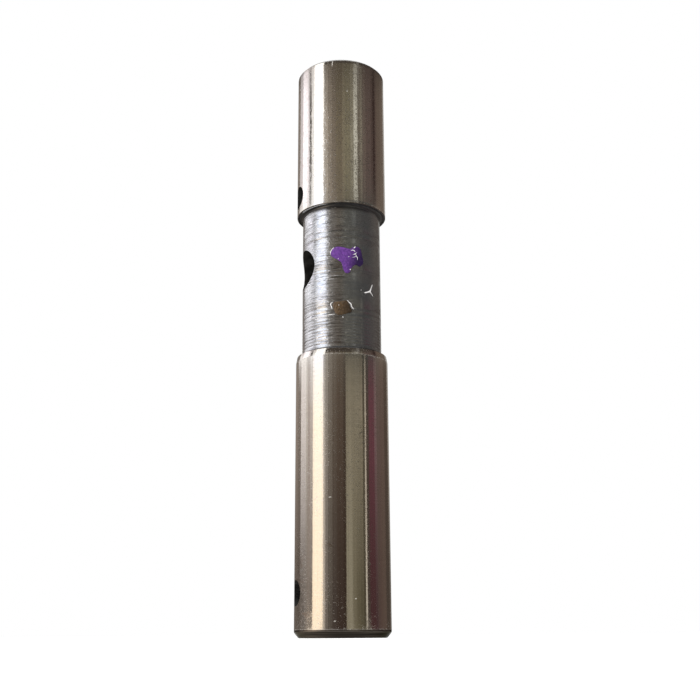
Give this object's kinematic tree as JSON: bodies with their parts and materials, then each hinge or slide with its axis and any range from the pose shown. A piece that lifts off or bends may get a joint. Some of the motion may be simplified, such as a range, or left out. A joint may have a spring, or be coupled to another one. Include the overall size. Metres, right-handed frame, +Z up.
{
  "type": "governor shaft",
  "caption": "Round steel shaft with ground journals at both ends, a relieved neck between them, and radial oil holes on one side that meet an axial gallery.",
  "frame": {"origin": "centre of the lower end face, on the shaft's axis", "axes": "+Z up the shaft's axis from the lower end face to the upper end face; the radial oil holes open towards -X"},
  "size_m": [0.016, 0.016, 0.1018],
  "materials": {
    "ground_steel": "ground journals, turned neck"
  },
  "bodies": {
    "root": {"governor_shaft": "ground_steel"}
  },
  "joints": []
}
